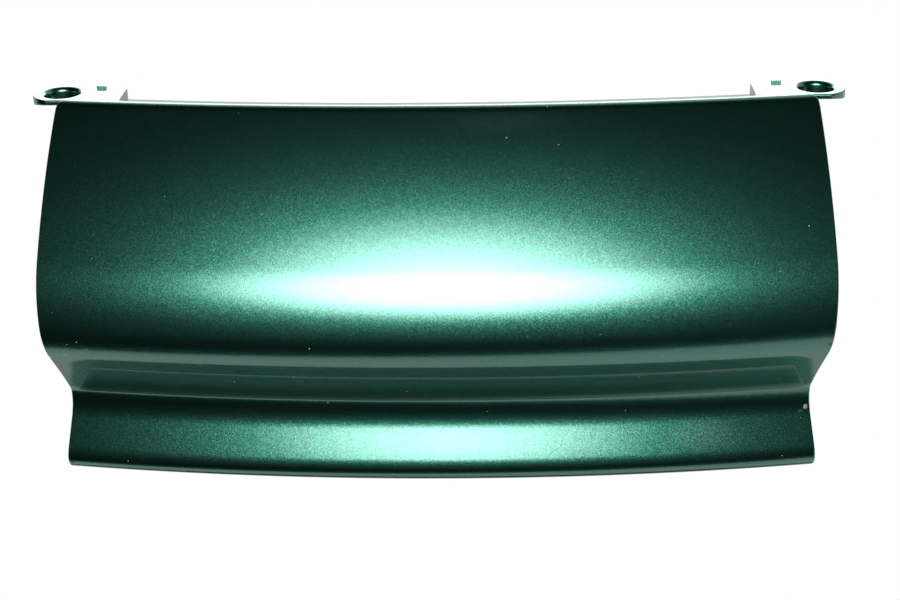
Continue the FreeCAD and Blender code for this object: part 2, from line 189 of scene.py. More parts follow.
@dataclass
class CoverShell:
    """The moulded wall: flange, panel, roll-under, cove, lip and hem, in millimetres and degrees."""

    wall: float = 2.2
    plan_radius: float = 752.0
    lean: float = 16.0
    flange_depth: float = 14.0
    flange_slope: float = FLANGE_SLOPE
    flange_rise: float = 1.5
    ear_spacing: float = EAR_SPACING
    ear_lead: float = 11.0
    side_width: float = 223.7
    side_draft: float = 9.7
    side_flare: float = 7.2
    flare_drop: float = 87.1
    flare_bend: float = 60.0
    corner_back: float = 1.3
    corner_reach: float = 6.0
    corner_in: float = 5.0
    rim_crease: float = 50.0
    rim_round: float = 0.8
    rim_steps: int = 3
    merge: float = 0.01
    columns: int = 132
    side_passes: int = 6
    stretches: tuple[Stretch, ...] = field(
        default=(
            Stretch("flange", Bend.STRAIGHT, 13.289, 0.0, 7),
            Stretch("top", Bend.CONVEX, 4.2, 61.484, 12),
            Stretch("upper", Bend.CONVEX, 222.0, 12.416, 40),
            Stretch("crown", Bend.CONVEX, 40.7, 15.1, 8),
            Stretch("brow", Bend.CONVEX, 44.1, 12.0, 7),
            Stretch("roll", Bend.CONVEX, 17.0, 39.3, 12),
            Stretch("shelf", Bend.STRAIGHT, 19.9, 0.0, 8),
            Stretch("cove", Bend.CONCAVE, 3.9, 21.6, 5),
            Stretch("apron", Bend.CONCAVE, 15.4, 33.7, 10),
            Stretch("face", Bend.STRAIGHT, 9.2, 0.0, 4),
            Stretch("lip", Bend.CONVEX, 12.0, 14.3, 5),
            Stretch("hem", Bend.CONVEX, 5.5, 60.7, 10),
        )
    )

    @property
    def axis_back(self) -> float:
        """Distance of the plan axis behind the ear holes, in millimetres."""
        return math.sqrt(self.plan_radius**2 - (self.ear_spacing / 2) ** 2) - self.ear_lead

    @property
    def axis(self) -> Vector:
        """Point on the vertical axis that the section sweeps round, in metres."""
        return Vector((0.0, self.axis_back * MM, 0.0))

    @property
    def sweep(self) -> float:
        """Half of the angle that the section sweeps through, in radians."""
        return math.asin(self.side_width / 2 / self.plan_radius)

    def build(self) -> BMesh:
        """Makes the whole wall with its thickness and its rounded rim.

        Returns:
            The closed mesh of the wall.
        """
        bm = bmesh.new()
        self.draw_section(bm)
        self.sweep_section(bm)
        self.fit_side_edges(bm)
        self.face_outwards(bm)
        self.thicken(bm)
        round_edges(bm, sharp_edges(bm, self.rim_crease), self.rim_round * MM, self.rim_steps)
        return bm

    def draw_section(self, bm: BMesh) -> None:
        """Draws the painted face's section at the middle of the cover.

        Args:
            bm: empty mesh that gets a chain of edges.
        """
        heading = FORWARDS - self.flange_slope
        front = Vector((0.0, self.axis_back - self.plan_radius, self.flange_rise)) * MM
        tip = bm.verts.new(front - along(heading) * self.flange_depth * MM)
        for stretch in self.stretches:
            log.debug("%s starts at a heading of %.1f degrees", stretch.name, heading)
            tip = self.draw_stretch(bm, tip, heading, stretch)
            heading += stretch.bend.value * stretch.turn

    def draw_stretch(self, bm: BMesh, tip: BMVert, heading: float, stretch: Stretch) -> BMVert:
        """Carries the section on by one stretch.

        Args:
            bm: mesh that holds the section.
            tip: the section's last vertex.
            heading: the section's heading there, in degrees.
            stretch: line or arc to add.

        Returns:
            The section's new last vertex.
        """
        if stretch.bend is Bend.STRAIGHT:
            stride = along(heading) * (stretch.size * MM / stretch.steps)
            for _ in range(stretch.steps):
                tip = bmesh.ops.extrude_vert_indiv(bm, verts=[tip])["verts"][0]
                bmesh.ops.translate(bm, verts=[tip], vec=stride)
            return tip
        centre = tip.co + inward(heading) * (stretch.bend.value * stretch.size * MM)
        made = bmesh.ops.spin(
            bm,
            geom=[tip],
            cent=centre,
            axis=(1.0, 0.0, 0.0),
            angle=stretch.bend.value * math.radians(stretch.turn),
            steps=stretch.steps,
        )
        return next(item for item in made["geom_last"] if isinstance(item, BMVert))

    def sweep_section(self, bm: BMesh) -> None:
        """Sweeps the section round the plan axis, from side to side.

        Args:
            bm: mesh that holds the section.
        """
        turn = Matrix.Rotation(-self.sweep, 3, "Z")
        bmesh.ops.rotate(bm, verts=bm.verts, cent=self.axis, matrix=turn)
        bmesh.ops.spin(
            bm,
            geom=[*bm.verts, *bm.edges],
            cent=self.axis,
            axis=(0.0, 0.0, 1.0),
            angle=2 * self.sweep,
            steps=self.columns,
        )
        bmesh.ops.remove_doubles(bm, verts=bm.verts, dist=self.merge * MM)

    def flare_out(self, drop: float) -> float:
        """How far the side edge has opened out below the start of its flare.

        Args:
            drop: distance below the ear holes, down the lean, in metres.

        Returns:
            The distance in metres.
        """
        flare = math.radians(self.side_flare)
        bend = self.flare_bend * MM
        past = drop - self.flare_drop * MM + bend * math.tan(flare / 2)
        if past < 0.0:
            return 0.0
        if past < bend * math.sin(flare):
            return bend - math.sqrt(bend**2 - past**2)
        return bend * (1.0 - math.cos(flare)) + (past - bend * math.sin(flare)) * math.tan(flare)

    def side_angle(self, radius: float, height: float) -> float:
        """Angle round the plan axis at which one row of the wall meets its side edge.

        Args:
            radius: distance of the row from the plan axis, in metres.
            height: height of the row, in metres.

        Returns:
            The angle from the middle of the cover, in radians.
        """
        draft = math.radians(self.side_draft)
        lean = math.radians(self.lean)
        across = math.cos(draft)
        back = math.sin(draft) * math.cos(lean)
        rise = height * math.sin(draft) * math.sin(lean)
        straight = self.side_width * MM / 2 * across + rise - back * self.axis.y
        angle = self.sweep
        for _ in range(self.side_passes):
            behind = self.axis.y - radius * math.cos(angle)
            drop = -behind * math.sin(lean) - height * math.cos(lean)
            reach = straight + self.flare_out(drop)
            angle = math.atan2(back, across) + math.asin(reach / (radius * math.hypot(across, back)))
        return angle

    def corner_angle(self, radius: float) -> float:
        """Angle by which a row falls short of its side edge, so that the panel's upper corners are round.

        Args:
            radius: distance of the row from the plan axis, in metres.

        Returns:
            The angle in radians; the whole of it on the flange and none below the corners.
        """
        forward = radius / MM - self.plan_radius + self.corner_back
        share = min(max(1.0 - forward / self.corner_reach, 0.0), 1.0)
        return self.corner_in * MM * (1.0 - math.sqrt(1.0 - share**2)) / radius

    def fit_side_edges(self, bm: BMesh) -> None:
        """Draws each row of the wall in or out, so that its ends lie on the slanted side edges.

        Args:
            bm: swept painted face.
        """
        for vert in bm.verts:
            arm = vert.co - self.axis
            radius = math.hypot(arm.x, arm.y)
            share = math.atan2(arm.x, -arm.y) / self.sweep
            angle = share * (self.side_angle(radius, vert.co.z) - self.corner_angle(radius))
            vert.co = self.axis + Vector((radius * math.sin(angle), -radius * math.cos(angle), vert.co.z))

    def face_outwards(self, bm: BMesh) -> None:
        """Turns the faces so that their normals leave the painted side.

        Args:
            bm: swept painted face.
        """
        bmesh.ops.recalc_face_normals(bm, faces=bm.faces)
        bm.normal_update()
        foremost = min(bm.faces, key=lambda face: face.calc_center_median().y)
        if foremost.normal.y > 0:
            bmesh.ops.reverse_faces(bm, faces=bm.faces)

    def thicken(self, bm: BMesh) -> None:
        """Gives the painted face its wall and marks the faces of the inner side.

        Args:
            bm: swept painted face.
        """
        painted: set[BMFace] = set(bm.faces)
        bmesh.ops.solidify(bm, geom=list(bm.faces), thickness=self.wall * MM)
        for face in bm.faces:
            if face in painted:
                continue
            touches = any(other in painted for edge in face.edges for other in edge.link_faces)
            face.material_index = Face.PAINTED.value if touches else Face.INSIDE.value


@dataclass
class MountingEar:
    """One level ear: a round eye on a narrower tab with a nib, in millimetres and degrees."""

    spacing: float = EAR_SPACING
    hole: float = 10.5
    margin: float = 3.5
    length: float = 28.0
    thickness: float = 3.7
    fall: float = FLANGE_SLOPE
    front_flat: float = 0.6
    tab_back: float = 5.5
    nib_width: float = 3.0
    nib_height: float = 0.8
    nib_depth: float = 1.2
    nib_inboard: float = 11.5
    seam: float = 0.06
    edge_crease: float = 40.0
    edge_round: float = 0.45
    edge_steps: int = 3
    nib_steps: int = 2
    drill_lengths: int = 4
    hole_round: float = 1.3
    hole_turn: float = 85.0
    hole_steps: int = 8
    merge: float = 0.001
    facets: int = 96
    hole_facets: int = 80

    @property
    def half(self) -> float:
        """Outer radius of the eye."""
        return self.hole / 2 + self.margin

    @property
    def centre(self) -> Vector:
        """Middle of the right-hand hole, in metres."""
        return Vector((self.spacing / 2 * MM, 0.0, 0.0))

    def slope_underside(self, bm: BMesh) -> None:
        """Lets the underside fall towards the back as the flange does.

        Args:
            bm: level piece of the ear.
        """
        low = [vert for vert in bm.verts if vert.co.z < -self.thickness * MM / 2]
        shear = Matrix.Identity(4)
        shear[2][1] = -math.tan(math.radians(self.fall))
        bmesh.ops.transform(bm, matrix=shear, verts=low)

    def build_eye(self) -> BMesh:
        """Makes the round eye, cut flat at its front.

        Returns:
            A closed mesh without the hole.
        """
        bm = bmesh.new()
        bmesh.ops.create_cone(
            bm,
            cap_ends=True,
            segments=self.facets,
            radius1=self.half * MM,
            radius2=self.half * MM,
            depth=self.thickness * MM,
            matrix=Matrix.Translation(self.centre - Vector((0.0, 0.0, self.thickness * MM / 2))),
        )
        flat = Vector((0.0, -(self.half - self.front_flat) * MM, 0.0))
        cut = bmesh.ops.bisect_plane(
            bm,
            geom=[*bm.verts, *bm.edges, *bm.faces],
            plane_co=flat,
            plane_no=(0.0, -1.0, 0.0),
            clear_outer=True,
        )
        rim = [item for item in cut["geom_cut"] if isinstance(item, BMEdge)]
        bmesh.ops.holes_fill(bm, edges=rim)
        self.slope_underside(bm)
        bmesh.ops.recalc_face_normals(bm, faces=bm.faces)
        round_edges(bm, sharp_edges(bm, self.edge_crease), self.edge_round * MM, self.edge_steps)
        return bm

    def build_block(self, low: Vector, high: Vector) -> BMesh:
        """Makes a block between two corners.

        Args:
            low: lowest corner, in millimetres.
            high: highest corner, in millimetres.

        Returns:
            A closed mesh of six faces.
        """
        bm = bmesh.new()
        bmesh.ops.create_cube(bm, size=MM)
        bmesh.ops.scale(bm, vec=high - low, verts=bm.verts)
        bmesh.ops.translate(bm, vec=(low + high) / 2 * MM, verts=bm.verts)
        return bm

    def build_tab(self) -> BMesh:
        """Makes the tab that joins the eye to the flange.

        Returns:
            A closed mesh with rounded edges.
        """
        inner = self.spacing / 2 + self.half - self.length
        front = -(self.half - self.front_flat - self.seam)
        low = Vector((inner, front, self.seam - self.thickness))
        high = Vector((self.spacing / 2, self.tab_back, 0.0))
        bm = self.build_block(low, high)
        self.slope_underside(bm)
        round_edges(bm, sharp_edges(bm, self.edge_crease), self.edge_round * MM, self.edge_steps)
        return bm

    def build_nib(self) -> BMesh:
        """Makes the small nib by the tab's rear edge.

        Returns:
            A closed mesh with rounded edges.
        """
        middle = self.spacing / 2 - self.nib_inboard
        rear = self.tab_back - self.edge_round
        low = Vector((middle - self.nib_width / 2, rear - self.nib_depth, -self.thickness / 2))
        high = Vector((middle + self.nib_width / 2, rear, self.nib_height))
        bm = self.build_block(low, high)
        round_edges(bm, sharp_edges(bm, self.edge_crease), self.edge_round * MM / 2, self.nib_steps)
        return bm

    def build_drill(self) -> BMesh:
        """Makes the tool that cuts the hole and rounds its upper rim.

        Returns:
            A closed lathed mesh.
        """
        bm = bmesh.new()
        radius = self.hole / 2 * MM
        rim = self.hole_round * MM
        depth = self.drill_lengths * self.thickness * MM
        foot = bm.verts.new(self.centre + Vector((0.0, 0.0, -depth)))
        corner = bmesh.ops.extrude_vert_indiv(bm, verts=[foot])["verts"][0]
        bmesh.ops.translate(bm, verts=[corner], vec=(radius, 0.0, 0.0))
        neck = bmesh.ops.extrude_vert_indiv(bm, verts=[corner])["verts"][0]
        bmesh.ops.translate(bm, verts=[neck], vec=(0.0, 0.0, depth - rim))
        hub = neck.co + Vector((rim, 0.0, 0.0))
        flare = bmesh.ops.spin(
            bm,
            geom=[neck],
            cent=hub,
            axis=(0.0, 1.0, 0.0),
            angle=math.radians(self.hole_turn),
            steps=self.hole_steps,
        )
        lip = next(item for item in flare["geom_last"] if isinstance(item, BMVert))
        top = bmesh.ops.extrude_vert_indiv(bm, verts=[lip])["verts"][0]
        bmesh.ops.translate(bm, verts=[top], vec=(rim, 0.0, depth))
        head = bmesh.ops.extrude_vert_indiv(bm, verts=[top])["verts"][0]
        head.co = self.centre + Vector((0.0, 0.0, head.co.z))
        bmesh.ops.spin(
            bm,
            geom=[*bm.verts, *bm.edges],
            cent=self.centre,
            axis=(0.0, 0.0, 1.0),
            angle=2 * math.pi,
            steps=self.hole_facets,
            use_merge=True,
        )
        bmesh.ops.remove_doubles(bm, verts=bm.verts, dist=self.merge * MM)
        bmesh.ops.recalc_face_normals(bm, faces=bm.faces)
        return bm


class NodeSheet:
    """Short way to add and join nodes of one material, world or lamp."""

    MIX_INPUTS = (0, 6, 7)
    MIX_OUTPUT = 2

    def __init__(self, tree: bpy.types.NodeTree) -> None:
        """Clears the tree and keeps it.

        Args:
            tree: node tree of a material, a world or a lamp.
        """
        tree.nodes.clear()
        self.tree = tree

    def add(self, kind: str, inputs: dict[str | int, Any] | None = None, **settings: Any) -> bpy.types.Node:
        """Adds one node.

        Args:
            kind: the node's type name.
            inputs: socket name or number to a value, or to an output socket that feeds it.
            settings: the node's own properties.

        Returns:
            The new node.
        """
        node = self.tree.nodes.new(kind)
        for name, value in settings.items():
            setattr(node, name, value)
        for socket, value in (inputs or {}).items():
            if isinstance(value, bpy.types.NodeSocket):
                self.tree.links.new(value, node.inputs[socket])
            else:
                node.inputs[socket].default_value = value
        return node

    def math(self, operation: str, first: Any, second: Any = 0.0) -> bpy.types.NodeSocket:
        """Adds a Math node and gives its output.

        Args:
            operation: the node's operation.
            first: value or socket of the first input.
            second: value or socket of the second input.

        Returns:
            The output socket.
        """
        node = self.add("ShaderNodeMath", {0: first, 1: second}, operation=operation)
        return node.outputs[0]

    def line(self, value: bpy.types.NodeSocket, slope: float, start: float) -> bpy.types.NodeSocket:
        """Maps a value along a straight line.

        Args:
            value: socket to map.
            slope: rise for each unit of the value.
            start: result where the value is 0.

        Returns:
            The output socket.
        """
        node = self.add("ShaderNodeMath", {0: value, 1: slope, 2: start}, operation="MULTIPLY_ADD")
        return node.outputs[0]

    def ramp(self, value: bpy.types.NodeSocket, low: float, high: float) -> bpy.types.NodeSocket:
        """Maps a value smoothly from 0 at low to 1 at high; low may lie above high.

        Args:
            value: socket to map.
            low: value that gives 0.
            high: value that gives 1.

        Returns:
            The output socket.
        """
        inputs = {"Value": value, "From Min": low, "From Max": high, "To Min": 0.0, "To Max": 1.0}
        node = self.add("ShaderNodeMapRange", inputs, interpolation_type="SMOOTHSTEP")
        return node.outputs["Result"]

    def mix(self, share: Any, first: Any, second: Any) -> bpy.types.NodeSocket:
        """Mixes two colours.

        Args:
            share: how much of the second colour, from 0 to 1.
            first: colour or socket.
            second: colour or socket.

        Returns:
            The mixed colour.
        """
        inputs = dict(zip(self.MIX_INPUTS, (share, first, second)))
        node = self.add("ShaderNodeMix", inputs, data_type="RGBA")
        return node.outputs[self.MIX_OUTPUT]

    def vector(self, operation: str, first: Any, second: Any = (0.0, 0.0, 0.0)) -> bpy.types.NodeSocket:
        """Adds a Vector Math node and gives its vector output.

        Args:
            operation: the node's operation.
            first: vector or socket of the first input.
            second: vector or socket of the second input.

        Returns:
            The output socket.
        """
        node = self.add("ShaderNodeVectorMath", {0: first, 1: second}, operation=operation)
        return node.outputs[0]

    def scale(self, vector: Any, factor: Any) -> bpy.types.NodeSocket:
        """Scales a vector.

        Args:
            vector: vector or socket to scale.
            factor: number or socket to scale it by.

        Returns:
            The output socket.
        """
        node = self.add("ShaderNodeVectorMath", {0: vector, "Scale": factor}, operation="SCALE")
        return node.outputs[0]

    def length(self, vector: bpy.types.NodeSocket) -> bpy.types.NodeSocket:
        """Measures a vector.

        Args:
            vector: socket to measure.

        Returns:
            Socket with its length.
        """
        node = self.add("ShaderNodeVectorMath", {0: vector}, operation="LENGTH")
        return node.outputs["Value"]

    def noise(self, place: bpy.types.NodeSocket, scale: float, detail: float) -> bpy.types.NodeSocket:
        """Adds a Noise Texture and gives its value.

        Args:
            place: coordinates.
            scale: noise cells in each metre.
            detail: how many finer layers it has.

        Returns:
            The value socket.
        """
        node = self.add("ShaderNodeTexNoise", {"Vector": place, "Scale": scale, "Detail": detail})
        return node.outputs["Fac"]


@dataclass(frozen=True)
class Mark:
    """A worn or soiled spot on the paint.

    Attributes:
        place: its middle, in millimetres.
        reach: its half sizes along the three axes, in millimetres.
        ragged: how far noise breaks up its outline, as a share of its reach.
        grain: size of that noise, in millimetres.
        soft: width of its edge, as a share of its reach.
        tint: its colour.
        share: how much of the paint's colour it covers, from 0 to 1.
        matt: how much of the paint's shine it takes, from 0 to 1.
    """

    place: Triple
    reach: Triple
    ragged: float
    grain: float
    soft: float
    tint: Colour
    share: float
    matt: float


CHIP = Mark(
    place=(113.0, -34.7, -91.7),
    reach=(0.6, 2.0, 0.75),
    ragged=0.5,
    grain=0.9,
    soft=0.3,
    tint=(0.36, 0.28, 0.18, 1.0),
    share=1.0,
    matt=1.0,
)
CHIP_TAIL = Mark(
    place=(111.5, -35.2, -92.9),
    reach=(0.7, 2.0, 0.35),
    ragged=0.6,
    grain=0.6,
    soft=0.5,
    tint=(0.36, 0.32, 0.25, 1.0),
    share=0.3,
    matt=0.5,
)
SMUDGE = Mark(
    place=(81.9, -40.7, -98.0),
    reach=(8.0, 8.0, 3.5),
    ragged=0.4,
    grain=5.0,
    soft=0.9,
    tint=(0.5, 0.85, 0.72, 1.0),
    share=0.12,
    matt=0.0,
)
SMEAR = Mark(
    place=(20.0, -25.2, -2.2),
    reach=(14.0, 4.0, 2.2),
    ragged=0.6,
    grain=6.0,
    soft=0.9,
    tint=(0.5, 0.72, 0.65, 1.0),
    share=0.1,
    matt=0.12,
)
NICK = Mark(
    place=(116.2, -48.9, -63.6),
    reach=(1.0, 2.5, 0.7),
    ragged=0.4,
    grain=0.6,
    soft=0.3,
    tint=(0.01, 0.012, 0.011, 1.0),
    share=0.9,
    matt=0.8,
)
CORNER_DOT = Mark(
    place=(-115.2, -38.6, -108.5),
    reach=(0.6, 2.0, 0.6),
    ragged=0.3,
    grain=0.5,
    soft=0.3,
    tint=(0.012, 0.01, 0.009, 1.0),
    share=1.0,
    matt=0.9,
)
SCUFF = Mark(
    place=(-110.4, -48.5, -66.4),
    reach=(1.1, 2.0, 0.6),
    ragged=0.5,
    grain=0.7,
    soft=0.5,
    tint=(0.68, 0.75, 0.71, 1.0),
    share=0.2,
    matt=0.4,
)


@dataclass(frozen=True)
class MetallicPaint:
    """Blue-green metallic paint under a clear coat, with its flakes, dust and wear."""

    colour: Colour = (0.057, 0.256, 0.189, 1.0)
    roughness: float = 0.28
    coat_roughness: float = 0.03
    coat_ior: float = 1.75
    flake_scale: float = 4200.0
    flake_tilt: float = 0.04
    flake_light: float = 0.12
    dust: Colour = (0.54, 0.64, 0.59, 1.0)
    dust_scale: float = 330.0
    dust_size: float = 0.06
    dust_chance: Pair = (0.6, 1.0)
    dust_soft: float = 0.01
    matt_roughness: float = 0.8
    mark_detail: float = 3.0
    marks: tuple[Mark, ...] = (SMUDGE, SMEAR, SCUFF, CHIP_TAIL, CHIP, NICK, CORNER_DOT)

    def spot(self, sheet: NodeSheet, place: bpy.types.NodeSocket, mark: Mark) -> bpy.types.NodeSocket:
        """Mask of one mark.

        Args:
            sheet: node sheet of the material.
            place: object coordinates.
            mark: the mark's place and size.

        Returns:
            Socket that is the mark's share inside it and 0 outside.
        """
        offset = sheet.vector("SUBTRACT", place, tuple(value * MM for value in mark.place))
        shape = sheet.vector("DIVIDE", offset, tuple(value * MM for value in mark.reach))
        noise = sheet.noise(place, 1 / (mark.grain * MM), self.mark_detail)
        wander = sheet.line(noise, 2 * mark.ragged, -mark.ragged)
        reached = sheet.math("ADD", sheet.length(shape), wander)
        inside = sheet.ramp(reached, 1.0 + mark.soft, 1.0 - mark.soft)
        return sheet.math("MULTIPLY", inside, mark.share)

    def make(self) -> bpy.types.Material:
        """Builds the paint.

        Returns:
            The material.
        """
        material = bpy.data.materials.new("metallic_green_paint")
        material.use_nodes = True
        sheet = NodeSheet(material.node_tree)
        place = sheet.add("ShaderNodeTexCoord").outputs["Object"]
        flakes = sheet.add("ShaderNodeTexVoronoi", {"Vector": place, "Scale": self.flake_scale})
        spread = sheet.vector("SUBTRACT", flakes.outputs["Color"], CELL_MIDDLE)
        lean = sheet.scale(spread, 2 * self.flake_tilt)
        surface = sheet.add("ShaderNodeNewGeometry").outputs["Normal"]
        facing = sheet.vector("NORMALIZE", sheet.vector("ADD", surface, lean))
        split = sheet.add("ShaderNodeSeparateColor", {"Color": flakes.outputs["Color"]})
        shine = sheet.line(split.outputs["Green"], 2 * self.flake_light, 1.0 - self.flake_light)
        tinted = sheet.scale(self.colour[:3], shine)
        worn = self.dust_mask(sheet, place)
        colour = sheet.mix(worn, tinted, self.dust)
        for mark in self.marks:
            covered = self.spot(sheet, place, mark)
            colour = sheet.mix(covered, colour, mark.tint)
            worn = sheet.math("MAXIMUM", worn, sheet.math("MULTIPLY", covered, mark.matt))
        metal = sheet.math("SUBTRACT", 1.0, worn)
        rough = sheet.line(worn, self.matt_roughness - self.roughness, self.roughness)
        shader = sheet.add(
            "ShaderNodeBsdfPrincipled",
            {
                "Base Color": colour,
                "Metallic": metal,
                "Roughness": rough,
                "Normal": facing,
                "Coat Weight": 1.0,
                "Coat Roughness": self.coat_roughness,
                "Coat IOR": self.coat_ior,
            },
        )
        sheet.add("ShaderNodeOutputMaterial", {"Surface": shader.outputs[0]})
        return material

    def dust_mask(self, sheet: NodeSheet, place: bpy.types.NodeSocket) -> bpy.types.NodeSocket:
        """Mask of a few fine dust specks.

        Args:
            sheet: node sheet of the material.
            place: object coordinates.

        Returns:
            Socket that is 1 on a speck and 0 elsewhere.
        """
        cells = sheet.add("ShaderNodeTexVoronoi", {"Vector": place, "Scale": self.dust_scale})
        chance = sheet.add("ShaderNodeSeparateColor", {"Color": cells.outputs["Color"]})
        share = sheet.ramp(chance.outputs["Red"], *self.dust_chance)
        size = sheet.math("MULTIPLY", share, self.dust_size)
        edge = sheet.math("SUBTRACT", size, cells.outputs["Distance"])
        return sheet.ramp(edge, 0.0, self.dust_soft)


@dataclass(frozen=True)
class InsideFinish:
    """Plain moulded inner side with a faint overspray of the paint."""

    plastic: Colour = (0.032, 0.039, 0.037, 1.0)
    overspray: Colour = (0.034, 0.064, 0.056, 1.0)
    roughness: float = 0.55
    speckle_roughness: float = 0.15
    cloud_scale: float = 28.0
    cloud_detail: float = 3.0
    cloud_range: Pair = (0.2, 0.8)
    cloud_share: float = 0.3
    grain_scale: float = 1800.0
    grain_detail: float = 1.0
    speckle_range: Pair = (0.55, 0.95)
    bump_strength: float = 0.25
    bump_height: float = 0.05

    def make(self) -> bpy.types.Material:
        """Builds the inner finish.

        Returns:
            The material.
        """
        material = bpy.data.materials.new("inside_overspray")
        material.use_nodes = True
        sheet = NodeSheet(material.node_tree)
        place = sheet.add("ShaderNodeTexCoord").outputs["Object"]
        clouds = sheet.noise(place, self.cloud_scale, self.cloud_detail)
        grain = sheet.noise(place, self.grain_scale, self.grain_detail)
        cloudy = sheet.math("MULTIPLY", sheet.ramp(clouds, *self.cloud_range), self.cloud_share)
        speckle = sheet.ramp(sheet.math("ADD", grain, cloudy), *self.speckle_range)
        colour = sheet.mix(speckle, self.plastic, self.overspray)
        rough = sheet.line(speckle, self.speckle_roughness, self.roughness)
        bump = sheet.add(
            "ShaderNodeBump",
            {"Height": grain, "Strength": self.bump_strength, "Distance": self.bump_height * MM},
        )
        shader = sheet.add(
            "ShaderNodeBsdfPrincipled",
            {"Base Color": colour, "Roughness": rough, "Normal": bump.outputs[0]},
        )
        sheet.add("ShaderNodeOutputMaterial", {"Surface": shader.outputs[0]})
        return material


@dataclass
class LowerCover:
    """The whole cover: one painted moulding that stands for its CAD node."""

    shell: CoverShell = field(default_factory=CoverShell)
    ear: MountingEar = field(default_factory=MountingEar)
    paint: MetallicPaint = field(default_factory=MetallicPaint)
    inside: InsideFinish = field(default_factory=InsideFinish)
    crease: float = 12.0
    flat_area: float = 8.0
    flat_crease: float = 2.0

    def build(self) -> bpy.types.Object:
        """Makes the moulding and dresses it.

        Returns:
            The finished piece.
        """
        materials = [self.paint.make(), self.inside.make()]
        cover = mesh_object("painted_cover", self.shell.build(), materials)
        for made in (self.ear.build_tab, self.ear.build_eye, self.ear.build_nib):
            self.combine(cover, self.both_sides(made()), "UNION", materials)
        self.combine(cover, self.both_sides(self.ear.build_drill()), "DIFFERENCE", materials)
        self.shade(cover)
        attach(cover, ROOT_BODY)
        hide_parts(NODE)
        return cover

    def both_sides(self, bm: BMesh) -> BMesh:
        """Adds the mirror image of a right-hand piece.

        Args:
            bm: mesh of the right-hand piece.

        Returns:
            The same mesh, now with both pieces.
        """
        geometry = [*bm.verts, *bm.edges, *bm.faces]
        bmesh.ops.mirror(bm, geom=geometry, matrix=Matrix.Identity(4), merge_dist=0.0, axis="X")
        bmesh.ops.recalc_face_normals(bm, faces=bm.faces)
        return bm

    def combine(
        self, cover: bpy.types.Object, bm: BMesh, operation: str, materials: list[bpy.types.Material]
    ) -> None:
        """Joins a pair of pieces to the cover, or cuts them out of it.

        Args:
            cover: piece to change.
            bm: mesh of both tools.
            operation: the Boolean modifier's operation.
            materials: materials in slot order.
        """
        tool = mesh_object("tool", bm, materials)
        step = cover.modifiers.new(operation.lower(), "BOOLEAN")
        step.operation = operation
        step.solver = "EXACT"
        step.object = tool
        graph = bpy.context.evaluated_depsgraph_get()
        result = bpy.data.meshes.new_from_object(cover.evaluated_get(graph))
        cover.modifiers.clear()
        before = cover.data
        cover.data = result
        result.name = cover.name
        spent = tool.data
        bpy.data.objects.remove(tool)
        bpy.data.meshes.remove(spent)
        bpy.data.meshes.remove(before)

    def shade(self, cover: bpy.types.Object) -> None:
        """Shades the moulding smooth, apart from its creases and the rims of its broad flat faces.

        Args:
            cover: the finished moulding.
        """
        bm = bmesh.new()
        bm.from_mesh(cover.data)
        for face in bm.faces:
            face.smooth = True
        for edge in sharp_edges(bm, self.crease):
            edge.smooth = False
        least = self.flat_area * MM * MM
        for edge in sharp_edges(bm, self.flat_crease):
            if any(face.calc_area() > least for face in edge.link_faces):
                edge.smooth = False
        bm.to_mesh(cover.data)
        bm.free()


@dataclass(frozen=True)
class PhotoCamera:
    """The photograph's viewpoint, from the outline of the cover: degrees, millimetres and pixels."""

    target: Triple = (0.0, -57.665, -48.717)
    azimuth: float = 1.688
    elevation: float = 24.033
    roll: float = 0.971
    distance: float = 480.57
    focal_pixels: float = 1673.5
    shift_right: float = -4.637
    shift_down: float = 3.467
    sensor: float = 36.0
    nearest: float = 0.01

    @property
    def forward(self) -> Vector:
        """Direction that the camera looks in."""
        azimuth = math.radians(self.azimuth)
        elevation = math.radians(self.elevation)
        level = math.cos(elevation)
        return Vector((-math.sin(azimuth) * level, math.cos(azimuth) * level, -math.sin(elevation)))

    def frame(self) -> Matrix:
        """The camera's place and turn.

        Returns:
            World matrix of the camera.
        """
        ahead = self.forward
        level_right = ahead.cross(Vector((0.0, 0.0, 1.0))).normalized()
        level_down = ahead.cross(level_right)
        roll = math.radians(self.roll)
        right = level_right * math.cos(roll) + level_down * math.sin(roll)
        down = level_down * math.cos(roll) - level_right * math.sin(roll)
        eye = Vector(self.target) - ahead * self.distance
        eye = eye - right * self.shift_right - down * self.shift_down
        turn = Matrix((right, -down, -ahead)).transposed().to_4x4()
        return Matrix.Translation(eye * MM) @ turn

    def build(self) -> None:
        """Makes the camera the scene's own."""
        data = bpy.data.cameras.new("photo_camera")
        data.sensor_width = self.sensor
        data.lens = self.focal_pixels * self.sensor / PHOTO_WIDTH
        data.clip_start = self.nearest
        camera = bpy.data.objects.new("photo_camera", data)
        camera.matrix_world = self.frame()
        bpy.context.scene.collection.objects.link(camera)
        bpy.context.scene.camera = camera


